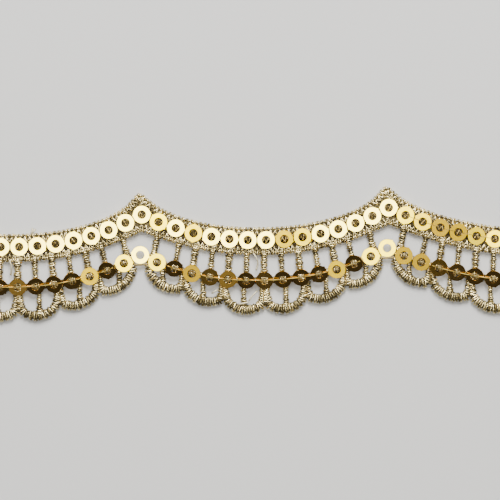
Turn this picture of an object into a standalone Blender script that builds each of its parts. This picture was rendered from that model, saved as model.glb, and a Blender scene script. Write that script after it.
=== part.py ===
"""A cut length of machine-embroidered lace trim with two rows of sequins.

The trim lies flat. X runs along it, Y points to its peaks and Z up from the
back of the lace. The origin is on the back, at the middle of a valley.
"""
import math

import bmesh
import bpy

MM = 0.001

# Lengths are in millimetres from here on, and MM turns them into metres
REPEAT = 41.3  # from one peak of the heading to the next
PEAK_RISE = 4.83  # of the upper row, from valley to peak
VALLEY_FLATNESS = 2.2  # 2 is a parabola, more is flatter with sharper peaks
SEQUINS_PER_REPEAT = 14
FIRST_SEQUIN = -15  # counted from the valley at the origin
LAST_SEQUIN = 13
LOWER_ROW_DROP = 6.74
LOWER_SLIP = -0.45  # all below the heading lies a little further back along the trim

# How the soft trim lies: past its right peak it sags in its own plane
SAG_START = REPEAT / 2
SAG_AFTER_REPEAT = 5.2

# Heading, foot cord and the rungs between them
HEADING_ABOVE_ROW = 1.95
HEADING_BELOW_ROW = 2.1
HEADING_BELOW_PEAK = 0.65  # extra depth under a peak
TIP_RISE = 1.9
TIP_SPREAD = 2.1  # from the peak to where the tip's rise has fallen to a third
TIP_BLUNTNESS = 0.35  # half the width of its flat top
TIP_SLIP = -0.4
FOOT_CORD_WIDTH = 1.4
RUNG_WIDTHS = (1.0, 0.75)  # a rung over a cusp or valley, and the next one
RUNG_LEAN = 0.93  # top of a rung from the valley's middle, over its foot
GAP_RUNG_REACH = (3.35, 2.9)  # from a gap's middle to the far side of the rung at its edge

# Scallops of one side of a repeat, from the gap under its peak to its middle:
# start, end, bulge beyond the straight line, and the share where the loop opens
SCALLOPS = (
    ((19.9, -4.2), (13.5, -8.2), 1.85, 0.18),
    ((13.5, -8.2), (6.9, -10.1), 1.6, 0.13),
    ((6.9, -10.1), (0.0, -11.0), 1.85, 0.13),
)
SCALLOP_CORD = 1.55
SCALLOP_FULLNESS = 0.75  # 1 is a sine arch, less is rounder
SCALLOP_STEPS = 8
POST_SHARE = 0.13  # of a scallop's length, held by the post at its inner cusp
SMALL_RUNG_SHARE = 0.055  # held by each half of the rung in its middle

# The open gap under a peak: half its width and its depth below the peak sequin
PEAK_GAP = (
    (0.0, 2.75),
    (1.2, 2.85),
    (2.1, 3.3),
    (2.4, 4.1),
    (2.15, 5.2),
    (1.6, 6.3),
    (1.05, 7.3),
    (0.8, 8.3),
)

# The length is cut across a cusp of the scallops at both ends
LEFT_CUT = -REPEAT - 6.9 + LOWER_SLIP
RIGHT_CUT = REPEAT + LOWER_SLIP

LACE_THICKNESS = 1.1
EDGE_ROUNDING = 0.26
HEADING_STEP = 1.5  # between points of its upper edge, away from the tips
TIP_STEPS = (TIP_BLUNTNESS, 0.9, 1.5, 2.3, 3.3)  # points on both sides of a peak
WINDOW_POINTS = 12
WINDOW_SQUARENESS = 3.6  # 2 is an ellipse, more is squarer

SEQUIN_DIAMETER = 2.8
SEQUIN_HOLE = 1.3
SEQUIN_THICKNESS = 0.25
SEQUIN_CLEARANCE = 0.3  # above the lace
SEQUIN_SIDES = 14


def clear_scene():
    """Start from an empty scene."""
    for thing in list(bpy.data.objects):
        bpy.data.objects.remove(thing)


def material(name, colour, roughness):
    """A metallic Principled material."""
    made = bpy.data.materials.new(name)
    made.use_nodes = True
    shader = made.node_tree.nodes["Principled BSDF"]
    shader.inputs["Base Color"].default_value = (*colour, 1.0)
    shader.inputs["Metallic"].default_value = 0.8
    shader.inputs["Roughness"].default_value = roughness
    made.diffuse_color = (*colour, 1.0)
    return made


def valley_of(x):
    """Middle of the valley whose repeat holds x."""
    return REPEAT * round(x / REPEAT)


def peak_share(x):
    """0 in the middle of a valley, 1 at a peak."""
    return abs(x - valley_of(x)) / (REPEAT / 2)


def row_height(x):
    """Centre line of the upper sequins."""
    return PEAK_RISE * peak_share(x) ** VALLEY_FLATNESS


def foot_line(x):
    """Centre line of the lower sequins, and of the cord under them."""
    return row_height(x - LOWER_SLIP) - LOWER_ROW_DROP


def heading_top(x):
    """Upper edge of the heading, with a blunt tip over each peak."""
    from_peak = max(TIP_BLUNTNESS, REPEAT / 2 - abs(x - valley_of(x)))
    tip = TIP_RISE * math.exp(-from_peak / TIP_SPREAD)
    return row_height(REPEAT / 2 - from_peak) + HEADING_ABOVE_ROW + tip


def heading_bottom(x):
    """Lower edge of the heading, where the rungs start."""
    return row_height(x) - HEADING_BELOW_ROW - HEADING_BELOW_PEAK * peak_share(x) ** 4


def laid(points):
    """Points of the straight trim, moved to where the sagging trim lies."""
    sags = [SAG_AFTER_REPEAT * (max(0.0, x - SAG_START) / REPEAT) ** 2 for x, _ in points]
    return [(x, y - sag) for (x, y), sag in zip(points, sags)]


def even_steps():
    """x of the sequins from a valley's middle to a peak, evenly spaced along the row."""
    fine = [REPEAT / 2 * i / 2000 for i in range(2001)]
    lengths = [0.0]
    for a, b in zip(fine, fine[1:]):
        lengths.append(lengths[-1] + math.hypot(b - a, row_height(b) - row_height(a)))
    count = SEQUINS_PER_REPEAT // 2
    goals = [lengths[-1] * number / count for number in range(count + 1)]
    return [min(zip(fine, lengths), key=lambda at: abs(at[1] - goal))[0] for goal in goals]


SEQUIN_STEPS = even_steps()


def sequin_x(number):
    """x of an upper sequin, numbered from the one in the origin's valley."""
    repeats = round(number / SEQUINS_PER_REPEAT)
    rest = number - repeats * SEQUINS_PER_REPEAT
    return repeats * REPEAT + math.copysign(SEQUIN_STEPS[abs(rest)], rest)


def is_gap(number):
    """Whether the gap under a peak takes the place of this rung."""
    return number % SEQUINS_PER_REPEAT == SEQUINS_PER_REPEAT // 2


def rung_side(number, side):
    """x of the top and foot of a rung's right side (1) or left side (-1)."""
    if is_gap(number - side):
        gap = sequin_x(number - side) + LOWER_SLIP
        return [gap + side * reach for reach in GAP_RUNG_REACH]
    foot = sequin_x(number) + LOWER_SLIP
    valley = valley_of(sequin_x(number))
    half = RUNG_WIDTHS[number % 2] / 2
    return [x + side * half for x in (valley + (foot - valley) * RUNG_LEAN, foot)]


def scallops():
    """Valley, side and shape of every scallop between the cuts, from left to right."""
    found = []
    for valley in (-REPEAT, 0.0, REPEAT):
        found += [(valley, -1, shape) for shape in SCALLOPS]
        found += [(valley, 1, shape) for shape in reversed(SCALLOPS)]
    return [
        (valley, side, shape)
        for valley, side, shape in found
        if LEFT_CUT < valley + side * (shape[0][0] + shape[1][0]) / 2 < RIGHT_CUT
    ]


def scallop_point(valley, side, shape, share, inset=0.0):
    """A point on a scallop's outer edge, or that far inside the edge."""
    (x0, y0), (x1, y1), bulge, _ = shape
    length = math.hypot(x1 - x0, y1 - y0)
    reach = bulge * math.sin(math.pi * share) ** SCALLOP_FULLNESS - inset
    x = x0 + (x1 - x0) * share - reach * (y1 - y0) / length
    y = y0 + (y1 - y0) * share + reach * (x1 - x0) / length
    return valley + side * x + LOWER_SLIP, y


def lower_edge():
    """Scallops and the gaps between repeats, from the left cut to the right one."""
    points = []
    for valley, side, shape in scallops():
        shares = [step / SCALLOP_STEPS for step in range(SCALLOP_STEPS)]
        if side > 0:
            shares = [1.0 - share for share in shares]
        points += [scallop_point(valley, side, shape, share) for share in shares]
        if side > 0 and shape is SCALLOPS[0]:
            peak = valley + REPEAT / 2 + LOWER_SLIP
            points.append(scallop_point(valley, side, shape, 0.0))
            points += [(peak - half, PEAK_RISE - depth) for half, depth in PEAK_GAP[::-1]]
            points += [(peak + half, PEAK_RISE - depth) for half, depth in PEAK_GAP[1:]]
    points.append(scallop_point(REPEAT, -1, SCALLOPS[-1], 1.0))
    return points


def upper_edge():
    """Top of the heading from the right cut to the left one, closer at the tips."""
    count = round((RIGHT_CUT - LEFT_CUT) / HEADING_STEP)
    xs = [RIGHT_CUT + (LEFT_CUT - RIGHT_CUT) * i / count for i in range(count + 1)]
    tips = [side * REPEAT / 2 for side in (-1, 1)]
    xs = [x for x in xs if all(abs(x - tip) > TIP_STEPS[-1] + 0.6 for tip in tips)]
    xs += [tip + side * reach for tip in tips for reach in TIP_STEPS for side in (-1, 1)]
    xs.sort(reverse=True)
    slips = [TIP_SLIP * math.exp(-min(abs(x - tip) for tip in tips) / TIP_SPREAD) for x in xs]
    return [(x + slip, heading_top(x)) for x, slip in zip(xs, slips)]


def window(left_foot, right_foot, right_top, left_top):
    """Outline of a rounded window between four corners, clockwise."""
    points = []
    for i in range(WINDOW_POINTS):
        angle = -2 * math.pi * (i + 0.5) / WINDOW_POINTS
        across, up = (
            0.5 + 0.5 * math.copysign(abs(part) ** (2 / WINDOW_SQUARENESS), part)
            for part in (math.cos(angle), math.sin(angle))
        )
        foot = [a + (b - a) * across for a, b in zip(left_foot, right_foot)]
        top = [a + (b - a) * across for a, b in zip(left_top, right_top)]
        points.append(tuple(a + (b - a) * up for a, b in zip(foot, top)))
    return points


def rung_windows():
    """The windows between the heading and the foot cord."""
    windows = []
    for number in range(FIRST_SEQUIN - 1, LAST_SEQUIN + 1):
        if is_gap(number) or is_gap(number + 1):
            continue
        (top_a, foot_a), (top_b, foot_b) = rung_side(number, 1), rung_side(number + 1, -1)
        windows.append(window(
            *((x, foot_line(x) + FOOT_CORD_WIDTH / 2) for x in (foot_a, foot_b)),
            *((x, heading_bottom(x)) for x in (top_b, top_a)),
        ))
    return windows


def scallop_windows():
    """The two windows of each scallop, on both sides of its small rung."""
    windows = []
    for valley, side, shape in scallops():
        opens = shape[3]
        for start, end in ((opens, 0.5 - SMALL_RUNG_SHARE), (0.5 + SMALL_RUNG_SHARE, 1 - POST_SHARE)):
            shares = (start, end)[::-side]
            feet = [scallop_point(valley, side, shape, share, SCALLOP_CORD) for share in shares]
            tops = [(x, foot_line(x) - FOOT_CORD_WIDTH / 2) for x, _ in reversed(feet)]
            windows.append(window(*feet, *tops))
    return windows


def lace_ground(thread):
    """The whole lace as one rounded plate with its windows cut through."""
    curve = bpy.data.curves.new("lace_ground_outline", "CURVE")
    curve.dimensions = "2D"
    curve.fill_mode = "BOTH"
    curve.extrude = (LACE_THICKNESS / 2 - EDGE_ROUNDING) * MM
    curve.bevel_depth = EDGE_ROUNDING * MM
    curve.bevel_resolution = 1
    curve.offset = -EDGE_ROUNDING * MM
    for points in (lower_edge() + upper_edge(), *rung_windows(), *scallop_windows()):
        spline = curve.splines.new("POLY")
        spline.points.add(len(points) - 1)
        for place, (x, y) in zip(spline.points, laid(points)):
            place.co = (x * MM, y * MM, 0.0, 1.0)
        spline.use_cyclic_u = True
    guide = bpy.data.objects.new("lace_ground_outline", curve)
    mesh = bpy.data.meshes.new_from_object(guide)
    bpy.data.objects.remove(guide)
    solid = bmesh.new()
    solid.from_mesh(mesh)
    bmesh.ops.remove_doubles(solid, verts=solid.verts, dist=0.001 * MM)
    bmesh.ops.recalc_face_normals(solid, faces=solid.faces)
    solid.to_mesh(mesh)
    solid.free()
    mesh.materials.clear()
    mesh.materials.append(thread)
    mesh.shade_smooth()
    mesh.set_sharp_from_angle(angle=math.radians(40))
    lace = bpy.data.objects.new("lace_ground", mesh)
    lace.location.z = LACE_THICKNESS / 2 * MM
    bpy.context.scene.collection.objects.link(lace)


def sequin_mesh(film):
    """A flat ring, turned from its section."""
    mesh = bpy.data.meshes.new("sequin")
    ring = bmesh.new()
    section = [
        ring.verts.new((radius * MM / 2, 0.0, height * MM))
        for radius, height in (
            (SEQUIN_HOLE, 0.0),
            (SEQUIN_DIAMETER, 0.0),
            (SEQUIN_DIAMETER, SEQUIN_THICKNESS),
            (SEQUIN_HOLE, SEQUIN_THICKNESS),
        )
    ]
    edges = [ring.edges.new((a, b)) for a, b in zip(section, section[1:] + section[:1])]
    bmesh.ops.spin(
        ring,
        geom=section + edges,
        cent=(0.0, 0.0, 0.0),
        axis=(0.0, 0.0, 1.0),
        angle=2 * math.pi,
        steps=SEQUIN_SIDES,
        use_merge=True,
    )
    bmesh.ops.recalc_face_normals(ring, faces=ring.faces)
    ring.to_mesh(mesh)
    ring.free()
    mesh.materials.append(film)
    return mesh


def sequins(mesh):
    """Both rows of sequins, each its own object."""
    height = LACE_THICKNESS + SEQUIN_CLEARANCE
    for count, number in enumerate(range(FIRST_SEQUIN, LAST_SEQUIN + 1), start=1):
        x = sequin_x(number)
        upper = (x, row_height(x))
        lower = (x + LOWER_SLIP, row_height(x) - LOWER_ROW_DROP)
        for row, (at_x, at_y) in zip(("upper", "lower"), laid([upper, lower])):
            sequin = bpy.data.objects.new(f"sequin_{row}_{count:02d}", mesh)
            sequin.location = (at_x * MM, at_y * MM, height * MM)
            bpy.context.scene.collection.objects.link(sequin)


clear_scene()
lace_ground(material("metallic_thread", (0.55, 0.47, 0.27), 0.45))
sequins(sequin_mesh(material("sequin_film", (0.86, 0.69, 0.33), 0.2)))
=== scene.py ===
"""Lace trim with two rows of sequins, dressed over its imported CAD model."""
import math
import random

import bmesh
import bpy
from mathutils import Matrix, Vector


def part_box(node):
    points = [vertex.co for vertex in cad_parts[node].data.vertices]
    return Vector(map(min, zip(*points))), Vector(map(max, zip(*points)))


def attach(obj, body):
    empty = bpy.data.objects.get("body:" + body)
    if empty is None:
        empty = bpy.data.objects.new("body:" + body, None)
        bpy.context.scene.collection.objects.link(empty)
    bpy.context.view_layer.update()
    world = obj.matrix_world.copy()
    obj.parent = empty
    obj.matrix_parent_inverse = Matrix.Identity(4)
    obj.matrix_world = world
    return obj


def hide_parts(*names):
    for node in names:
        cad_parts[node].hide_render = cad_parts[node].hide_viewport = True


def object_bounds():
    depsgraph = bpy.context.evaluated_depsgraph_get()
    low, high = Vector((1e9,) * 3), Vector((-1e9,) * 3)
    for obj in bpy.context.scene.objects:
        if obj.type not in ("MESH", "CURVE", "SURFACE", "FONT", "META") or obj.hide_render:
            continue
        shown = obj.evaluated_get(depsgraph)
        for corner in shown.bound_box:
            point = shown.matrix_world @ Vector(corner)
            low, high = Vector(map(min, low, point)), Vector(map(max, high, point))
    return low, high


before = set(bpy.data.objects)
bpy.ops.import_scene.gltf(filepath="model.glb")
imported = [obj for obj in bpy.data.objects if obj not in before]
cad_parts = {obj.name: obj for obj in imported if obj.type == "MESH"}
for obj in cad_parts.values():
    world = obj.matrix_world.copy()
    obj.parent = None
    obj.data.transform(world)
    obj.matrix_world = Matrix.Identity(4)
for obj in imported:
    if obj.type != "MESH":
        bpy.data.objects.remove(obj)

cad_low, cad_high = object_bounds()

# Lace padding
# The body of the embroidery: running stitches of metallic thread that fill the heading, the
# rungs and the scallop cords. It was sewn on a film that dissolved, so nothing lies between
# the cords. It shows between the satin stitches, so it is a little thinner than they are.
MM = 0.001
PADDING_INSET = 0.2  # below the surface of the finished cords
MERGE_GAP = 0.0005  # points that lie closer than this are one


def linear(code):
    """An sRGB hex colour as the linear values that Blender's sockets take."""
    parts = [int(code[i:i + 2], 16) / 255 for i in (1, 3, 5)]
    return (*(p / 12.92 if p <= 0.04045 else ((p + 0.055) / 1.055) ** 2.4 for p in parts), 1.0)


def add(tree, kind, inputs=None, **settings):
    """Add a node with its settings, and set or link its inputs by name or number."""
    node = tree.nodes.new(kind)
    for name, value in settings.items():
        setattr(node, name, value)
    for name, value in (inputs or {}).items():
        if isinstance(value, bpy.types.NodeSocket):
            tree.links.new(value, node.inputs[name])
        else:
            node.inputs[name].default_value = value
    return node


def new_material(name):
    """A material without nodes yet, and its tree."""
    material = bpy.data.materials.new(name)
    material.use_nodes = True
    material.node_tree.nodes.clear()
    return material, material.node_tree


def metallic_thread(name, painted_glint, painted_shade):
    """Metallised polyester thread: a flat gold foil wound round a core. Its base colour runs from
    a painted shade to a painted glint from turn to turn, as painted glitter, and each strand is a
    little lighter or darker than the next."""
    material, tree = new_material(name)
    place = add(tree, "ShaderNodeTexCoord").outputs["Object"]
    strand = add(tree, "ShaderNodeAttribute", attribute_name="strand").outputs["Fac"]
    # Foil turns are about 0.15 mm long, and are drawn twice as long so that they show
    turns = add(tree, "ShaderNodeTexNoise", {"Vector": place, "Scale": 3400.0, "Detail": 3.0})
    # Painted glint and painted shade: the foil turns and each strand's random tone pick the base
    # colour between the two
    mixed = add(
        tree,
        "ShaderNodeMath",
        {0: turns.outputs["Fac"], 1: 0.6, 2: strand},
        operation="MULTIPLY_ADD",
    )
    spread = add(
        tree,
        "ShaderNodeMapRange",
        {"Value": mixed.outputs["Value"], "From Min": 0.25, "From Max": 1.2},
    )
    # The Mix node's colour sockets share their names with others, so they go by number
    colour = add(
        tree,
        "ShaderNodeMix",
        {0: spread.outputs["Result"], 6: linear(painted_shade), 7: linear(painted_glint)},
        data_type="RGBA",
    )
    relief = add(
        tree,
        "ShaderNodeBump",
        {"Height": turns.outputs["Fac"], "Strength": 0.9, "Distance": 0.12 * MM},
    )
    surface = add(
        tree,
        "ShaderNodeBsdfPrincipled",
        {
            "Base Color": colour.outputs[2],
            "Metallic": 0.95,
            "Roughness": 0.26,
            "Normal": relief.outputs["Normal"],
        },
    )
    add(tree, "ShaderNodeOutputMaterial", {"Surface": surface.outputs["BSDF"]})
    return material


def link(thing):
    """Put an object in the scene."""
    bpy.context.scene.collection.objects.link(thing)
    return thing


def plain_mesh(thing):
    """Replace an object's data and modifiers by the mesh they make, closed and facing out."""
    graph = bpy.context.evaluated_depsgraph_get()
    mesh = bpy.data.meshes.new_from_object(thing.evaluated_get(graph))
    thing.modifiers.clear()
    thing.data = mesh
    mesh.name = thing.name
    shell = bmesh.new()
    shell.from_mesh(mesh)
    bmesh.ops.remove_doubles(shell, verts=shell.verts, dist=MERGE_GAP * MM)
    bmesh.ops.recalc_face_normals(shell, faces=shell.faces)
    shell.to_mesh(mesh)
    shell.free()


padding = link(bpy.data.objects.new("lace_padding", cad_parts["lace_ground"].data.copy()))
plain_mesh(padding)
inset = padding.modifiers.new("inset", "DISPLACE")
inset.strength = -PADDING_INSET * MM
inset.mid_level = 0.0
plain_mesh(padding)
padding.data.materials.clear()
# Painted shade: the padding is the same metallic thread, painted darker where it shows deep between
# the satin stitches
padding.data.materials.append(metallic_thread("padding_thread", "#7C7049", "#3A321F"))
padding.data.shade_smooth()
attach(padding, "root")
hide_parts("lace_ground")


# Satin stitches
# Thread laid side by side over the padding, round and round each cord, at a slight slant that
# turns back and forth as the needle goes from edge to edge. Every stitch is its own closed
# strand. Its lie, reach and tone vary a little, as they do on the machine.
CORD_MIDDLE = 0.56  # height of a cord's middle over the surface it lies on
CORD_RISE = 0.38  # from there to the middle of the thread on top
STITCH_THREAD = 0.32
STITCH_PITCH = 0.38
STRAND_SIDES = 5
LOOP_ROUNDING = 0.7  # of the corners of one turn of thread, which is 2 wide before it is scaled
REACH_SPREAD = (-0.9, 0.3)  # of Ragged: most turns stop short of the edge, and a few pass it
RISE_SPREAD = (0.86, 1.08)


def group_input(tree, name, kind, value=None):
    """Add a named input to a Geometry Nodes tree and return its identifier."""
    socket = tree.interface.new_socket(name, in_out="INPUT", socket_type=kind)
    if value is not None:
        socket.default_value = value
    return socket.identifier


def satin_stitch_tree():
    """Geometry Nodes that wind thread round guide lines with a point attribute, reach."""
    tree = bpy.data.node_groups.new("satin_stitch", "GeometryNodeTree")
    names = {
        "Guide": group_input(tree, "Guide", "NodeSocketGeometry"),
        "Pitch": group_input(tree, "Pitch", "NodeSocketFloat", STITCH_PITCH * MM),
        "Thread": group_input(tree, "Thread", "NodeSocketFloat", STITCH_THREAD * MM),
        "Rise": group_input(tree, "Rise", "NodeSocketFloat", CORD_RISE * MM),
        "Slant": group_input(tree, "Slant", "NodeSocketFloat", 0.12),
        "Sway": group_input(tree, "Sway", "NodeSocketFloat", 0.1),
        "Ragged": group_input(tree, "Ragged", "NodeSocketFloat", 0.16),
        "Unevenness": group_input(tree, "Unevenness", "NodeSocketFloat", 0.04 * MM),
        "Seed": group_input(tree, "Seed", "NodeSocketInt", 0),
        "Material": group_input(tree, "Material", "NodeSocketMaterial"),
    }
    tree.interface.new_socket("Stitches", in_out="OUTPUT", socket_type="NodeSocketGeometry")
    given = add(tree, "NodeGroupInput").outputs

    def chance(low, high, step):
        """A random value for each stitch, different for each step and seed."""
        seed = add(tree, "ShaderNodeMath", {0: given["Seed"], 1: float(step)}, operation="ADD")
        return add(
            tree, "FunctionNodeRandomValue", {2: low, 3: high, "Seed": seed.outputs[0]}
        ).outputs[1]

    lines = add(tree, "GeometryNodeMeshToCurve", {"Mesh": given["Guide"]})
    points = add(
        tree,
        "GeometryNodeResampleCurve",
        {"Curve": lines.outputs["Curve"], "Length": given["Pitch"]},
        mode="LENGTH",
    )
    along = add(tree, "GeometryNodeInputTangent").outputs["Tangent"]
    upright = add(
        tree,
        "FunctionNodeAxesToRotation",
        {"Primary Axis": along, "Secondary Axis": (0.0, 0.0, 1.0)},
        primary_axis="Z",
        secondary_axis="Y",
    )
    number = add(tree, "GeometryNodeInputIndex").outputs["Index"]
    odd = add(tree, "ShaderNodeMath", {0: number, 1: 2.0}, operation="MODULO")
    turn = add(
        tree, "ShaderNodeMath", {0: odd.outputs[0], 1: 2.0, 2: -1.0}, operation="MULTIPLY_ADD"
    )
    slant = add(
        tree, "ShaderNodeMath", {0: turn.outputs[0], 1: given["Slant"]}, operation="MULTIPLY"
    )
    sway = add(
        tree,
        "ShaderNodeMath",
        {0: chance(-1.0, 1.0, 1), 1: given["Sway"], 2: slant.outputs[0]},
        operation="MULTIPLY_ADD",
    )
    lean = add(
        tree,
        "FunctionNodeAxisAngleToRotation",
        {"Axis": (0.0, 1.0, 0.0), "Angle": sway.outputs[0]},
    )
    lie = add(
        tree,
        "FunctionNodeRotateRotation",
        {"Rotation": upright.outputs["Rotation"], "Rotate By": lean.outputs["Rotation"]},
        rotation_space="LOCAL",
    )
    reach = add(tree, "GeometryNodeInputNamedAttribute", {"Name": "reach"}, data_type="FLOAT")
    shorter = add(
        tree,
        "ShaderNodeMath",
        {0: chance(*REACH_SPREAD, 2), 1: given["Ragged"], 2: 1.0},
        operation="MULTIPLY_ADD",
    )
    across = add(
        tree,
        "ShaderNodeMath",
        {0: reach.outputs["Attribute"], 1: shorter.outputs[0]},
        operation="MULTIPLY",
    )
    up = add(
        tree,
        "ShaderNodeMath",
        {0: given["Rise"], 1: chance(*RISE_SPREAD, 3)},
        operation="MULTIPLY",
    )
    size = add(
        tree, "ShaderNodeCombineXYZ", {"X": across.outputs[0], "Y": up.outputs[0], "Z": 1.0}
    )
    square = add(
        tree, "GeometryNodeCurvePrimitiveQuadrilateral", {"Width": 2.0, "Height": 2.0}
    )
    loop = add(
        tree,
        "GeometryNodeFilletCurve",
        {"Curve": square.outputs["Curve"], "Count": 2, "Radius": LOOP_ROUNDING},
        mode="POLY",
    )
    stitches = add(
        tree,
        "GeometryNodeInstanceOnPoints",
        {
            "Points": points.outputs["Curve"],
            "Instance": loop.outputs["Curve"],
            "Rotation": lie.outputs["Rotation"],
            "Scale": size.outputs["Vector"],
        },
    )
    toned = add(
        tree,
        "GeometryNodeStoreNamedAttribute",
        {"Geometry": stitches.outputs["Instances"], "Name": "strand", "Value": chance(0.0, 1.0, 4)},
        data_type="FLOAT",
        domain="INSTANCE",
    )
    curves = add(
        tree, "GeometryNodeRealizeInstances", {"Geometry": toned.outputs["Geometry"]}
    )
    shake = add(
        tree,
        "FunctionNodeRandomValue",
        {0: (-1.0, -1.0, -1.0), 1: (1.0, 1.0, 1.0), "Seed": given["Seed"]},
        data_type="FLOAT_VECTOR",
    )
    offset = add(
        tree,
        "ShaderNodeVectorMath",
        {0: shake.outputs[0], "Scale": given["Unevenness"]},
        operation="SCALE",
    )
    moved = add(
        tree,
        "GeometryNodeSetPosition",
        {"Geometry": curves.outputs["Geometry"], "Offset": offset.outputs["Vector"]},
    )
    half = add(tree, "ShaderNodeMath", {0: given["Thread"], 1: 0.5}, operation="MULTIPLY")
    section = add(
        tree,
        "GeometryNodeCurvePrimitiveCircle",
        {"Resolution": STRAND_SIDES, "Radius": half.outputs[0]},
    )
    thread = add(
        tree,
        "GeometryNodeCurveToMesh",
        {"Curve": moved.outputs["Geometry"], "Profile Curve": section.outputs["Curve"]},
    )
    smooth = add(tree, "GeometryNodeSetShadeSmooth", {"Geometry": thread.outputs["Mesh"]})
    real = add(
        tree, "GeometryNodeRealizeInstances", {"Geometry": smooth.outputs["Geometry"]}
    )
    done = add(
        tree,
        "GeometryNodeSetMaterial",
        {"Geometry": real.outputs["Geometry"], "Material": given["Material"]},
    )
    add(tree, "NodeGroupOutput", {"Stitches": done.outputs["Geometry"]})
    return tree, names


def guide_lines(name, paths):
    """An object of open lines, from points (x, y, reach) in millimetres."""
    mesh = bpy.data.meshes.new(name)
    points = []
    edges = []
    for path in paths:
        first = len(points)
        points += path
        edges += [(i, i + 1) for i in range(first, len(points) - 1)]
    mesh.from_pydata([(x * MM, y * MM, CORD_MIDDLE * MM) for x, y, _ in points], edges, [])
    reach = mesh.attributes.new("reach", "FLOAT", "POINT")
    for place, (_, _, half) in zip(reach.data, points):
        place.value = (half - STITCH_THREAD / 2) * MM
    return link(bpy.data.objects.new(name, mesh))


def stitched(name, paths, material, **inputs):
    piece = guide_lines(name, paths)
    modifier = piece.modifiers.new("stitches", "NODES")
    modifier.node_group = STITCH_TREE
    modifier[STITCH_INPUTS["Material"]] = material
    for label, value in inputs.items():
        modifier[STITCH_INPUTS[label]] = value
    plain_mesh(piece)
    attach(piece, "root")
    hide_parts("lace_ground")
    return piece


STITCH_TREE, STITCH_INPUTS = satin_stitch_tree()
# The satin thread's colour runs from a painted shade to a painted glint
stitch_thread = metallic_thread("satin_thread", "#FFECB0", "#6E5F38")


# Heading
# The dense band that the trim is sewn on by: three rows of zigzag side by side, a narrow
# whipped row along both edges, and a short extra row that fills the tip over each peak. The
# middle row, which seats the sequins, is painted a darker gold, as painted shade that shows in
# their holes.
REPEAT = 41.3
PEAK_RISE = 4.83
VALLEY_FLATNESS = 2.2
HEADING_ABOVE_ROW = 1.95
HEADING_BELOW_ROW = 2.1
HEADING_BELOW_PEAK = 0.65
NEAR_PEAK = 4  # power of a peak's share that keeps a change close to the peak
TIP_RISE = 1.9
TIP_SPREAD = 2.1
TIP_BLUNTNESS = 0.35
TIP_SLIP = -0.4
SAG_START = REPEAT / 2
SAG_AFTER_REPEAT = 5.2
LEFT_END = cad_low.x / MM
RIGHT_END = cad_high.x / MM
ROW_HALF = 0.85
EDGE_HALF = 0.4
MIDDLE_HALF = 1.15
SEAT_DROP = 0.05  # of the middle row, below the centre line of the sequins
TIP_ROW = ((0.0, 0.95), (0.35, 0.8), (0.7, 0.6), (1.0, 0.45))  # share of its length, half width
TIP_ROW_START = 1.3  # above the upper sequins' line at the peak
TIP_ROW_LENGTH = 1.85
UPPER_SLACK = 0.28  # of the loose outer stitches, past the upper edge of the solid
LOWER_SLACK = (0.45, 0.12)  # past its lower edge, in a valley and at a peak
END_MARGIN = 0.2  # from a cut end to the first stitch
HEADING_STEP = 0.6
HEADING_LIE = {"Slant": 0.42, "Sway": 0.22, "Ragged": 0.12}


def valley_of(x):
    """Middle of the valley whose repeat holds x."""
    return REPEAT * round(x / REPEAT)


def peak_share(x):
    """0 in the middle of a valley, 1 at a peak."""
    return abs(x - valley_of(x)) / (REPEAT / 2)


def row_height(x):
    """Centre line of the upper sequins."""
    return PEAK_RISE * peak_share(x) ** VALLEY_FLATNESS


def heading_top(x):
    """Upper edge of the heading, with a blunt tip over each peak."""
    from_peak = max(TIP_BLUNTNESS, REPEAT / 2 - abs(x - valley_of(x)))
    tip = TIP_RISE * math.exp(-from_peak / TIP_SPREAD)
    return row_height(REPEAT / 2 - from_peak) + HEADING_ABOVE_ROW + tip


def heading_bottom(x):
    """Lower edge of the heading, where the rungs start."""
    at_peak = HEADING_BELOW_PEAK * peak_share(x) ** NEAR_PEAK
    return row_height(x) - HEADING_BELOW_ROW - at_peak


def laid(x, y):
    """A point of the straight trim, where it lies on the sagging one."""
    return x, y - SAG_AFTER_REPEAT * (max(0.0, x - SAG_START) / REPEAT) ** 2


def tip_slip(x):
    """How far a point near a peak's tip lies back along the trim."""
    from_peak = REPEAT / 2 - abs(x - valley_of(x))
    return TIP_SLIP * math.exp(-from_peak / TIP_SPREAD)


def heading_steps():
    """x along the heading, from end to end."""
    count = int((RIGHT_END - LEFT_END - 2 * END_MARGIN) / HEADING_STEP) + 1
    return [LEFT_END + END_MARGIN + i * HEADING_STEP for i in range(count)]


def seat_row():
    """Guide line of the middle row, under the upper sequins."""
    return [(*laid(x, row_height(x) - SEAT_DROP), MIDDLE_HALF) for x in heading_steps()]


def heading_rows():
    """Guide lines of the rows along both edges and in the tips."""
    steps = heading_steps()
    upper_edge = [
        (x + tip_slip(x), heading_top(x) + UPPER_SLACK - EDGE_HALF, EDGE_HALF) for x in steps
    ]
    top = [(x + tip_slip(x), heading_top(x) - ROW_HALF, ROW_HALF) for x in steps]
    in_valley, at_peak = LOWER_SLACK
    foot = [
        (x, heading_bottom(x) - in_valley + (in_valley - at_peak) * peak_share(x) ** NEAR_PEAK)
        for x in steps
    ]
    bottom, lower_edge = ([(x, y + half, half) for x, y in foot] for half in (ROW_HALF, EDGE_HALF))
    tips = []
    for side in (-1, 1):
        tip = []
        for share, half in TIP_ROW:
            y = PEAK_RISE + TIP_ROW_START + TIP_ROW_LENGTH * share
            tip.append((side * REPEAT / 2 + TIP_SLIP * share, y, half))
        tips.append(tip)
    rows = (upper_edge, top, bottom, lower_edge, *tips)
    return [[(*laid(x, y), half) for x, y, half in row] for row in rows]


heading = stitched("heading_stitches", heading_rows(), stitch_thread, Seed=11, **HEADING_LIE)
# Painted shade: the middle row's thread is painted darker, for the shade inside the sequins' holes
seat_thread = metallic_thread("seat_thread", "#BCA568", "#50421F")
seat = stitched("seat_stitches", [seat_row()], seat_thread, Seed=13, **HEADING_LIE)


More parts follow.
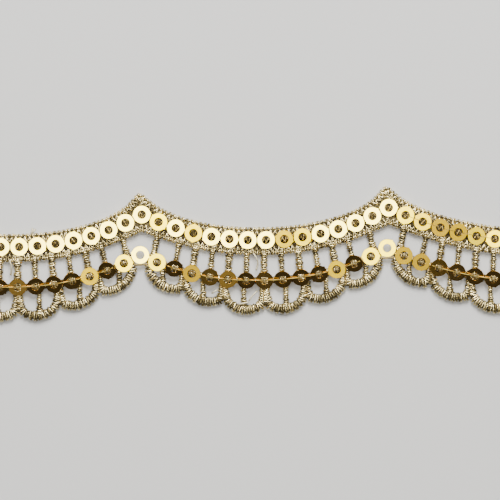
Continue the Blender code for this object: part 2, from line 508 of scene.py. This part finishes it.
# Foot cord and rungs
# The ladder under the heading: a narrow cord carries the lower sequins, and rungs fan down to
# it from the heading. Every second rung is heavier and goes on as a post to a cusp. All of them
# are satin stitched over a few running stitches.
SEQUINS_PER_REPEAT = 14
FIRST_SEQUIN = -15  # numbered along the row from the origin's valley, which has number 0
LAST_SEQUIN = 13
FIRST_RUNG = FIRST_SEQUIN - 1
LAST_RUNG = LAST_SEQUIN + 1  # cut down its middle at the right end
CUT_RUNG_HALF = 0.35
LOWER_ROW_DROP = 6.74
LOWER_SLIP = -0.45
RUNG_LEAN = 0.93
RUNG_HALVES = (0.74, 0.6)
RUNG_SHAPE = ((0.0, 1.25), (0.25, 0.95), (0.7, 0.95), (1.0, 1.15))  # shares: length, width
RUNG_OVERLAP = 0.5  # of a rung's top, into the heading
BESIDE_GAP = 0.4  # of a repeat from a valley, past which a rung edges the gap
GAP_RUNG = (  # from the gap's middle, and half width
    (2.9, 0.62),
    (2.75, 0.62),
    (2.35, 0.68),
    (2.05, 0.78),
)
FOOT_CORD_HALF = 0.7
FOOT_CORD_INSETS = (1.6, 2.5)  # from the peaks at its left and its right end
FOOT_CORD_STEP = 0.8


def foot_line(x):
    """Centre line of the lower sequins, and of the cord under them."""
    return row_height(x - LOWER_SLIP) - LOWER_ROW_DROP


def cad_sequin(row, number):
    """Name of a sequin in the CAD model, where each row is numbered from 01."""
    return f"sequin_{row}_{number - FIRST_SEQUIN + 1:02d}"


def row_centre(row, number):
    """Centre of a CAD sequin, in millimetres."""
    low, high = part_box(cad_sequin(row, number))
    return (low + high) / 2 / MM


def under_peak(number):
    """Whether the sequin of that number lies at a peak, where the ladder has its open gap."""
    return number % SEQUINS_PER_REPEAT == SEQUINS_PER_REPEAT // 2


def rung_x(number):
    """x of an upper sequin in the straight trim, also one past the last at both ends."""
    if number < FIRST_SEQUIN:
        return row_centre("upper", number + SEQUINS_PER_REPEAT).x - REPEAT
    if number > LAST_SEQUIN:
        return row_centre("upper", number - SEQUINS_PER_REPEAT).x + REPEAT
    return row_centre("upper", number).x


def rungs():
    """Guide lines of the rungs between the heading and the foot cord."""
    lines = []
    for number in range(FIRST_RUNG, LAST_RUNG + 1):
        if under_peak(number):
            continue
        x = rung_x(number)
        valley = valley_of(x)
        foot = x + LOWER_SLIP
        top = valley + (foot - valley) * RUNG_LEAN
        half = RUNG_HALVES[number % 2]
        widths = [(top + (foot - top) * share, half * wider) for share, wider in RUNG_SHAPE]
        if abs(x - valley) > REPEAT * BESIDE_GAP:
            side = math.copysign(1.0, x - valley)
            gap = valley + side * REPEAT / 2 + LOWER_SLIP
            widths = [(gap - side * reach, half) for reach, half in GAP_RUNG]
        if number == LAST_RUNG:
            widths = [(RIGHT_END - CUT_RUNG_HALF, CUT_RUNG_HALF)] * len(RUNG_SHAPE)
        start = heading_bottom(widths[0][0]) + RUNG_OVERLAP
        end = foot_line(widths[-1][0])
        ys = [start + (end - start) * share for share, _ in RUNG_SHAPE]
        lines.append([(*laid(at, y), half) for (at, half), y in zip(widths, ys)])
    return lines


def foot_cords():
    """Guide lines of the cord under the lower sequins, broken under each peak."""
    lines = []
    left, right = FOOT_CORD_INSETS
    for valley in (-REPEAT, 0.0, REPEAT):
        start = max(valley - REPEAT / 2 + left, LEFT_END + END_MARGIN)
        end = min(valley + REPEAT / 2 - right, RIGHT_END - END_MARGIN)
        count = round((end - start) / FOOT_CORD_STEP)
        xs = [start + (end - start) * i / count for i in range(count + 1)]
        lines.append([(*laid(x, foot_line(x)), FOOT_CORD_HALF) for x in xs])
    return lines


ladder = stitched("ladder_stitches", rungs() + foot_cords(), stitch_thread, Ragged=0.4, Seed=23)


# Scallops
# Six looped cords hang from the foot cord in each repeat, thick and evenly satin stitched. They
# meet at cusps, each held by a post, and a thin rung crosses the middle of each loop. Beside the
# open gap under a peak the cord hooks up to the foot cord.
SCALLOPS = (  # start and end in one half of a repeat, and the bulge between them
    ((19.9, -4.2), (13.5, -8.2), 1.85),
    ((13.5, -8.2), (6.9, -10.1), 1.6),
    ((6.9, -10.1), (0.0, -11.0), 1.85),
)
SCALLOP_HALF = 0.88
SCALLOP_FULLNESS = 0.75
CORD_SLACK = 0.1  # of the stitches' outer turns, past the edge of the solid
CORD_STEPS = 12
CUSP_SHARE = 0.1  # of a scallop's length, where its cord turns up to the foot cord
CUSP_TURN = 0.6  # of the way from the cusp to there, where the cord runs up
CORD_TOP = 0.2  # below the foot cord's middle
RISING_HALVES = (0.4, 0.5)  # of the cord's end, at its top and half way down
SMALL_RUNG = (0.5, 1.2, (0.72, 0.5, 0.45))  # share of the scallop, inset, halves from its foot up
POST = (1.0, 0.7, (0.62, 0.62, 0.62))
POST_TOP = 0.3  # below the foot cord's middle
HOOK = (  # from the gap's middle, below the peak sequin, and half width
    (2.3, 6.5, 0.7),
    (1.9, 7.4, 0.82),
    (1.65, 8.3, 0.88),
)


def scallop_point(valley, side, shape, share, inset):
    """A point that far inside a scallop's outer edge."""
    (x0, y0), (x1, y1), bulge = shape
    length = math.hypot(x1 - x0, y1 - y0)
    reach = bulge * math.sin(math.pi * share) ** SCALLOP_FULLNESS - inset
    x = x0 + (x1 - x0) * share - reach * (y1 - y0) / length
    y = y0 + (y1 - y0) * share + reach * (x1 - x0) / length
    return valley + side * x + LOWER_SLIP, y


def scallop_shapes():
    """Valley, side and shape of each scallop of the cut length."""
    shapes = [(v, s, shape) for v in (-REPEAT, 0.0, REPEAT) for s in (-1, 1) for shape in SCALLOPS]
    return [
        (v, s, shape)
        for v, s, shape in shapes
        if LEFT_END < v + s * (shape[0][0] + shape[1][0]) / 2 < RIGHT_END
    ]


def scallop_cords():
    """Guide lines of the looped cords."""
    lines = []
    inset = SCALLOP_HALF - CORD_SLACK
    shares = [CUSP_SHARE + (1 - 2 * CUSP_SHARE) * i / CORD_STEPS for i in range(CORD_STEPS + 1)]
    top_half, middle_half = RISING_HALVES
    for valley, side, shape in scallop_shapes():
        line = [scallop_point(valley, side, shape, share, inset) for share in shares]
        line = [(x, y, SCALLOP_HALF) for x, y in line]
        rises = []
        for share, (x, y, _) in ((0.0, line[0]), (1.0, line[-1])):
            cusp, _ = scallop_point(valley, side, shape, share, 0.0)
            near = cusp + (x - cusp) * CUSP_TURN
            top = foot_line(near)
            rises.append([(near, top - CORD_TOP, top_half), (near, (top + y) / 2, middle_half)])
        if shape is SCALLOPS[0]:
            gap = valley + side * REPEAT / 2 + LOWER_SLIP
            rises[0] = [(gap - side * out, PEAK_RISE - down, half) for out, down, half in HOOK]
        line = rises[0] + line + rises[1][::-1]
        lines.append([(*laid(x, y), half) for x, y, half in line])
    return lines


def posts():
    """Guide lines of the posts at the cusps and of the small rungs in the loops."""
    lines = []
    for valley, side, shape in scallop_shapes():
        bars = [SMALL_RUNG]
        # The two scallops beside a valley's middle share its post
        if side < 0 or shape is not SCALLOPS[-1]:
            bars.append(POST)
        for share, inset, halves in bars:
            x, y = scallop_point(valley, side, shape, share, inset)
            top = foot_line(x) - POST_TOP
            steps = zip((0.0, 0.5, 1.0), halves)
            lines.append([(*laid(x, y + (top - y) * step), half) for step, half in steps])
    return lines


scallops = stitched(
    "scallop_stitches", scallop_cords(), stitch_thread, Slant=0.1, Sway=0.14, Seed=37
)
post_stitches = stitched("post_stitches", posts(), stitch_thread, Ragged=0.4, Seed=41)


# Sequins
# Flat rings stamped from metallised polyester film, about a tenth of a millimetre thick, with
# two small nubs on the rim where each was cut from the machine's strip. The upper row lies flat
# on the heading, or nearly so. Most of the lower row is tipped by the thread that ties it down.
SEQUIN_SIDES = 48
SEQUIN_SECTION = (  # radius and height round the ring's section, steep at its stamped edges
    (0.71, 0.04),
    (0.73, 0.12),
    (1.45, 0.12),
    (1.48, 0.04),
    (1.46, 0.0),
    (0.73, 0.0),
)
OUTER_FROM = 1.0  # radius past which the section belongs to the rim, not to the hole
EDGE_ANGLE = math.radians(8)  # faces that meet more sharply keep a crisp edge
NUB_LENGTH = 0.15
NUB_SPREAD = 0.11
FLAT_HEIGHT = 1.22  # of the underside, on the stitches
FLAT_SCATTER = 0.06
LIFTED_FROM = 8.6  # degrees, past which the thread that tips a sequin also lifts it
LIFTED_HEIGHT = 1.55
LEAN_SCATTER = 0.5  # radians from the trim's length, of the line that a sequin tips about
UPPER_TIPS = {  # degrees, by number from the valley, else flat
    -6: 4, -4: 5, 1: 6, 2: 5, 8: 4, 9: 5.5, 10: 8.5, 11: 7.5, 12: 5, 13: 4.5,
}
USUAL_LOWER_TIP = 20
LOWER_TIPS = {  # degrees, by number from the valley, else the usual tip
    -14: 13.5, -10: 6.5, -8: 4, -7: 1, -6: 4, -4: 9, -3: 14, -2: 13, 0: 14.5,
    3: 17, 4: 6.5, 6: 4, 7: 4, 8: 8, 9: 9, 10: 13.5, 11: 15,
}
# Painted reflection: the sequins' base colour is set by how far each is tipped, paler when flat,
# standing in for the light that each one mirrors
PAINTED_TIP_TINTS = (  # degrees that the ring is tipped, and its tint there
    (0, "#FFE866"),
    (4, "#FFE000"),
    (7, "#FFD200"),
    (12, "#FFCC52"),
    (15, "#FFCE74"),
)


def sequin_film():
    """Metallised polyester film: a thin gold mirror under a clear layer, smooth, with the
    slight waves of a stamped sheet, so that each ring mirrors one tone of its surroundings.
    Its yellow softens as a ring is tipped, as the photograph shows; this is painted reflection, set
    in the base colour by how far each ring is tipped, since the film itself is one colour."""
    material, tree = new_material("metallised_film")
    place = add(tree, "ShaderNodeTexCoord").outputs["Object"]
    # The waves of a stamped sheet are a millimetre or two long
    waves = add(tree, "ShaderNodeTexNoise", {"Vector": place, "Scale": 700.0, "Detail": 2.0})
    tone = add(tree, "ShaderNodeAttribute", attribute_name="tone").outputs["Fac"]
    ramp = add(tree, "ShaderNodeValToRGB", {"Fac": tone})
    stops = ramp.color_ramp.elements
    while len(stops) < len(PAINTED_TIP_TINTS):
        stops.new(0.5)
    for stop, (tip, tint) in zip(stops, PAINTED_TIP_TINTS):
        stop.position = tip / PAINTED_TIP_TINTS[-1][0]
        stop.color = linear(tint)
    relief = add(
        tree,
        "ShaderNodeBump",
        {"Height": waves.outputs["Fac"], "Strength": 0.15, "Distance": 0.03 * MM},
    )
    surface = add(
        tree,
        "ShaderNodeBsdfPrincipled",
        {
            "Base Color": ramp.outputs["Color"],
            "Metallic": 1.0,
            "Roughness": 0.12,
            "Normal": relief.outputs["Normal"],
        },
    )
    add(tree, "ShaderNodeOutputMaterial", {"Surface": surface.outputs["BSDF"]})
    return material


def sequin_ring():
    """One closed ring with its nubs, lying flat at the origin."""
    mesh = bpy.data.meshes.new("sequin_ring")
    ring = bmesh.new()
    loops = []
    for i in range(SEQUIN_SIDES):
        angle = 2 * math.pi * i / SEQUIN_SIDES
        off = min(angle % math.pi, math.pi - angle % math.pi)
        # The fourth power makes the nub blunt, with steep sides
        nub = NUB_LENGTH * math.exp(-((off / NUB_SPREAD) ** 4))
        loop = []
        for radius, height in SEQUIN_SECTION:
            out = radius + nub * (radius > OUTER_FROM)
            spot = (out * math.cos(angle) * MM, out * math.sin(angle) * MM, height * MM)
            loop.append(ring.verts.new(spot))
        loops.append(loop)
    for loop, after in zip(loops, loops[1:] + loops[:1]):
        for j in range(len(loop)):
            k = (j + 1) % len(loop)
            ring.faces.new((loop[j], after[j], after[k], loop[k]))
    bmesh.ops.recalc_face_normals(ring, faces=ring.faces)
    ring.to_mesh(mesh)
    ring.free()
    return mesh


def sequin_row(row, tips, usual, seed):
    """One row of sequins on the CAD sequins' centres, as a single mesh."""
    chance = random.Random(seed)
    shape = sequin_ring()
    whole = bmesh.new()
    numbers = range(FIRST_SEQUIN, LAST_SEQUIN + 1)
    for number in numbers:
        centre = row_centre(row, number)
        tip = tips.get(number, usual)
        toward = chance.uniform(-LEAN_SCATTER, LEAN_SCATTER)
        turn = chance.uniform(0.0, math.pi)
        height = LIFTED_HEIGHT
        if tip < LIFTED_FROM:
            height = FLAT_HEIGHT + chance.uniform(0.0, FLAT_SCATTER)
        copy = bmesh.new()
        copy.from_mesh(shape)
        spin = Matrix.Rotation(turn, 4, "Z")
        axis = Vector((math.cos(toward), math.sin(toward), 0.0))
        lean = Matrix.Rotation(math.radians(tip), 4, axis)
        place = Matrix.Translation(Vector((centre.x, centre.y, height)) * MM)
        bmesh.ops.transform(copy, matrix=place @ lean @ spin, verts=copy.verts)
        part = bpy.data.meshes.new("sequin_copy")
        copy.to_mesh(part)
        copy.free()
        # Painted reflection tint of this ring, by how far it is tipped
        tone = part.attributes.new("tone", "FLOAT", "POINT")
        for spot in tone.data:
            spot.value = min(1.0, tip / PAINTED_TIP_TINTS[-1][0])
        whole.from_mesh(part)
        bpy.data.meshes.remove(part)
    mesh = bpy.data.meshes.new(f"{row}_sequins")
    whole.to_mesh(mesh)
    whole.free()
    bpy.data.meshes.remove(shape)
    mesh.materials.append(FILM)
    mesh.shade_smooth()
    mesh.set_sharp_from_angle(angle=EDGE_ANGLE)
    piece = link(bpy.data.objects.new(f"{row}_sequins", mesh))
    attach(piece, "root")
    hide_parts(*(cad_sequin(row, number) for number in numbers))


FILM = sequin_film()
sequin_row("upper", UPPER_TIPS, usual=0, seed=3)
sequin_row("lower", LOWER_TIPS, usual=USUAL_LOWER_TIP, seed=5)


# Tie threads
# Fine gold sewing thread that ties the lower row: it runs from hole to hole over the tipped
# sequins, with a small twist coming up through each hole. A still finer one shows at the right
# end of the upper row, and two strands bridge each gap under a peak, where a sequin hangs.
TIED_FROM = 9.5  # degrees; the thread passes under the sequins that lie flatter
TIE_PATH = (  # share of the way to the next hole, and height
    (0.0, 1.55),
    (0.17, 1.85),
    (0.4, 2.0),
    (0.6, 2.0),
    (0.83, 1.85),
    (1.0, 1.55),
)
FROM_FLAT = (0.45, 1.3)  # where it comes out from under the rim of a flat sequin
TO_FLAT = (0.55, 1.3)
TIE_RADIUS = 0.07
FINE_TIE_PATH = ((0.2, 1.3), (0.3, 1.52), (0.5, 1.6), (0.7, 1.52), (0.8, 1.3))
FINE_TIES = range(8, 13)  # upper sequins whose thread to the next one shows
FINE_TIE_RADIUS = 0.045
GAP_TIES = (  # x from the gap's middle, y from the upper row at the peak, and height
    ((-1.5, -8.2, 0.8), (-0.6, -8.45, 1.0), (0.6, -8.4, 0.95), (1.5, -8.15, 0.8)),
    ((-1.4, -8.55, 0.7), (-0.2, -8.25, 1.05), (1.4, -8.5, 0.75)),
)
GAP_TIE_RADIUS = 0.12
TWIST_PATH = ((-0.5, 1.2), (-0.25, 1.72), (0.2, 1.78), (0.5, 1.2))  # from the hole's middle, height
TWIST_TURNS = ((0.2, 1.0), (1.8, 2.6))  # radians from the trim's length, for each of two loops
TWIST_RADIUS = 0.085
TWIST_SEED = 83


def sewing_thread(name, colour, metal):
    """Plied polyester thread with a little gold in it: soft, fairly matt, finer than the lace."""
    material, tree = new_material(name)
    surface = add(
        tree,
        "ShaderNodeBsdfPrincipled",
        {"Base Color": linear(colour), "Metallic": metal, "Roughness": 0.42},
    )
    add(tree, "ShaderNodeOutputMaterial", {"Surface": surface.outputs["BSDF"]})
    return material


def thread_piece(name, paths, radius, material):
    """Round threads along smooth paths of points (x, y, z) in millimetres, as one mesh."""
    curve = bpy.data.curves.new(name, "CURVE")
    curve.dimensions = "3D"
    curve.bevel_depth = radius * MM
    curve.bevel_resolution = 1
    curve.resolution_u = 4
    curve.use_fill_caps = True
    for path in paths:
        spline = curve.splines.new("NURBS")
        spline.points.add(len(path) - 1)
        spline.order_u = 3
        spline.use_endpoint_u = True
        for point, (x, y, z) in zip(spline.points, path):
            point.co = (x * MM, y * MM, z * MM, 1.0)
    guide = link(bpy.data.objects.new(name + "_guide", curve))
    graph = bpy.context.evaluated_depsgraph_get()
    mesh = bpy.data.meshes.new_from_object(guide.evaluated_get(graph))
    bpy.data.objects.remove(guide)
    piece = link(bpy.data.objects.new(name, mesh))
    plain_mesh(piece)
    piece.data.materials.clear()
    piece.data.materials.append(material)
    piece.data.shade_smooth()
    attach(piece, "root")


def path_to_next(row, number, steps):
    """A thread's path from one sequin's hole to the next one's."""
    start = row_centre(row, number)
    end = row_centre(row, number + 1)
    spots = [(start.lerp(end, share), height) for share, height in steps]
    return [(spot.x, spot.y, height) for spot, height in spots]


def tie_paths():
    """The thread from hole to hole, where one of the two sequins is tipped."""
    paths = []
    middle = len(TIE_PATH) // 2
    for number in range(FIRST_SEQUIN, LAST_SEQUIN):
        here, after = (
            LOWER_TIPS.get(n, USUAL_LOWER_TIP) > TIED_FROM for n in (number, number + 1)
        )
        first = TIE_PATH[:middle] if here else (FROM_FLAT,)
        second = TIE_PATH[middle:] if after else (TO_FLAT,)
        if here or after:
            paths.append(path_to_next("lower", number, first + second))
    return paths


def gap_tie_paths():
    """The strands that bridge each gap under a peak."""
    paths = []
    for side in (-1, 1):
        gap = side * REPEAT / 2 + LOWER_SLIP
        paths += [[(*laid(gap + x, PEAK_RISE + y), z) for x, y, z in path] for path in GAP_TIES]
    return paths


def twist_paths():
    """Two short crossing loops of thread in each hole of the lower row, but not over a gap."""
    chance = random.Random(TWIST_SEED)
    paths = []
    for number in range(FIRST_SEQUIN, LAST_SEQUIN + 1):
        if under_peak(number):
            continue
        centre = row_centre("lower", number)
        for span in TWIST_TURNS:
            turn = chance.uniform(*span)
            x, y = math.cos(turn), math.sin(turn)
            paths.append([(centre.x + x * out, centre.y + y * out, z) for out, z in TWIST_PATH])
    return paths


fine_paths = [path_to_next("upper", number, FINE_TIE_PATH) for number in FINE_TIES]
thread_piece(
    "tie_thread", tie_paths(), TIE_RADIUS, sewing_thread("tie_thread", "#B59C4E", 0.7)
)
thread_piece(
    "fine_tie", fine_paths, FINE_TIE_RADIUS, sewing_thread("fine_thread", "#8E7A3E", 0.6)
)
thread_piece(
    "gap_ties", gap_tie_paths(), GAP_TIE_RADIUS, sewing_thread("gap_thread", "#A8925A", 0.7)
)
# Painted shade: the twists are painted darker than the tie thread, for the shade inside the lower
# sequins' holes
thread_piece(
    "hole_twists", twist_paths(), TWIST_RADIUS, sewing_thread("twist_thread", "#A89868", 0.6)
)


# Loose threads
# Ends and slack strands of soft thread that the embroidery machine left. One crosses a window in
# the middle valley, and others lie in windows, over scallops and above the heading.
LOOSE_THREADS = (
    (
        (-2.24, -2.1, 0.9),
        (-1.75, -2.8, 1.2),
        (-1.44, -3.65, 1.0),
        (-1.55, -4.3, 0.8),
        (-1.82, -5.0, 0.9),
    ),
    ((-43.07, -2.1, 0.9), (-42.75, -2.8, 1.1), (-42.69, -3.5, 1.0), (-42.89, -4.7, 0.8)),
    ((-3.13, -10.1, 1.1), (-2.6, -9.2, 1.3), (-1.75, -8.5, 0.9)),
    ((-4.99, -10.67, 1.2), (-4.1, -10.4, 1.5), (-3.14, -10.39, 1.2)),
    ((-9.3, -8.65, 1.1), (-8.8, -8.25, 1.4), (-8.27, -8.15, 1.0)),
    ((-39.3, 2.0, 0.9), (-39.1, 2.6, 1.0), (-38.98, 3.05, 0.7)),
    ((-39.3, 2.1, 0.9), (-38.9, 2.5, 1.1), (-38.5, 2.85, 0.8)),
)
LOOSE_RADIUS = 0.14
thread_piece(
    "loose_threads", LOOSE_THREADS, LOOSE_RADIUS, sewing_thread("loose_thread", "#D9CFAE", 0.5)
)


# Floor, light and camera
# A pale floor and a soft studio dome, bright overhead and dim near the horizon, with one large
# soft lamp beyond the peaks. The camera looks straight down, as the photograph does.
FLOOR_TONE = "#D6D5D2"
FLOOR_HALF = 1.5  # metres
FLOOR_DROP = 0.02  # millimetres below the trim, so that their faces don't share a plane
LAMP_PLACE = (0.05, 0.45, 0.5)  # metres
LAMP_SIZE = 0.35
LAMP_POWER = 9.0  # watts
VIEW_WIDTH = 83.8  # millimetres of floor across the picture
VIEW_CENTRE = (-2.73, -1.6)
CAMERA_HEIGHT = 500.0
CAMERA_ROLL = math.radians(-1.6)


def floor_material():
    """Matt painted board, even and pale, with the faint tooth of its paint."""
    material, tree = new_material("matt_board")
    place = add(tree, "ShaderNodeTexCoord").outputs["Object"]
    # The tooth of painted board is finer, and is drawn about 1 mm wide so that it shows
    tooth = add(tree, "ShaderNodeTexNoise", {"Vector": place, "Scale": 900.0, "Detail": 4.0})
    relief = add(
        tree,
        "ShaderNodeBump",
        {"Height": tooth.outputs["Fac"], "Strength": 0.2, "Distance": 0.1 * MM},
    )
    surface = add(
        tree,
        "ShaderNodeBsdfPrincipled",
        {"Base Color": linear(FLOOR_TONE), "Roughness": 0.85, "Normal": relief.outputs["Normal"]},
    )
    add(tree, "ShaderNodeOutputMaterial", {"Surface": surface.outputs["BSDF"]})
    return material


floor_mesh = bpy.data.meshes.new("floor")
grid = bmesh.new()
bmesh.ops.create_grid(grid, x_segments=1, y_segments=1, size=FLOOR_HALF)
grid.to_mesh(floor_mesh)
grid.free()
floor_mesh.materials.append(floor_material())
floor = link(bpy.data.objects.new("floor", floor_mesh))
floor.location.z = -FLOOR_DROP * MM

world = bpy.data.worlds.new("studio_dome")
bpy.context.scene.world = world
world.use_nodes = True
dome = world.node_tree
dome.nodes.clear()
toward = add(
    dome,
    "ShaderNodeSeparateXYZ",
    {0: add(dome, "ShaderNodeTexCoord").outputs["Generated"]},
)
# A weak glow beyond the peaks, a wide one overhead, and a strong small one at the very top
side_glow = add(
    dome,
    "ShaderNodeMapRange",
    {"Value": toward.outputs["Y"], "From Min": -0.1, "From Max": 0.7, "To Min": 0.0, "To Max": 0.6},
)
height = toward.outputs["Z"]
wide_glow = add(
    dome,
    "ShaderNodeMapRange",
    {"Value": height, "From Min": 0.87, "From Max": 0.985, "To Min": 0.04, "To Max": 1.3},
    interpolation_type="SMOOTHSTEP",
)
overhead_glow = add(
    dome,
    "ShaderNodeMapRange",
    {"Value": height, "From Min": 0.975, "From Max": 0.998, "To Min": 0.0, "To Max": 9.0},
    interpolation_type="SMOOTHSTEP",
)
top_glow = add(
    dome,
    "ShaderNodeMath",
    {0: wide_glow.outputs["Result"], 1: overhead_glow.outputs["Result"]},
    operation="ADD",
)
glow = add(
    dome,
    "ShaderNodeMath",
    {0: top_glow.outputs[0], 1: side_glow.outputs["Result"]},
    operation="ADD",
)
shine = add(
    dome,
    "ShaderNodeBackground",
    {"Color": (1.0, 0.985, 0.95, 1.0), "Strength": glow.outputs[0]},
)
add(dome, "ShaderNodeOutputWorld", {"Surface": shine.outputs["Background"]})

lamp_data = bpy.data.lights.new("soft_lamp", "AREA")
lamp_data.energy = LAMP_POWER
lamp_data.size = LAMP_SIZE
lamp = link(bpy.data.objects.new("soft_lamp", lamp_data))
lamp.location = LAMP_PLACE
lamp.rotation_euler = (-lamp.location).to_track_quat("-Z", "Y").to_euler()

camera_data = bpy.data.cameras.new("camera")
camera_data.sensor_width = 36.0
camera_data.lens = camera_data.sensor_width * CAMERA_HEIGHT / VIEW_WIDTH
camera_data.clip_start = 0.01
camera_data.clip_end = 5.0
camera = link(bpy.data.objects.new("camera", camera_data))
camera.location = (VIEW_CENTRE[0] * MM, VIEW_CENTRE[1] * MM, CAMERA_HEIGHT * MM)
camera.rotation_euler = (0.0, 0.0, CAMERA_ROLL)
bpy.context.scene.camera = camera
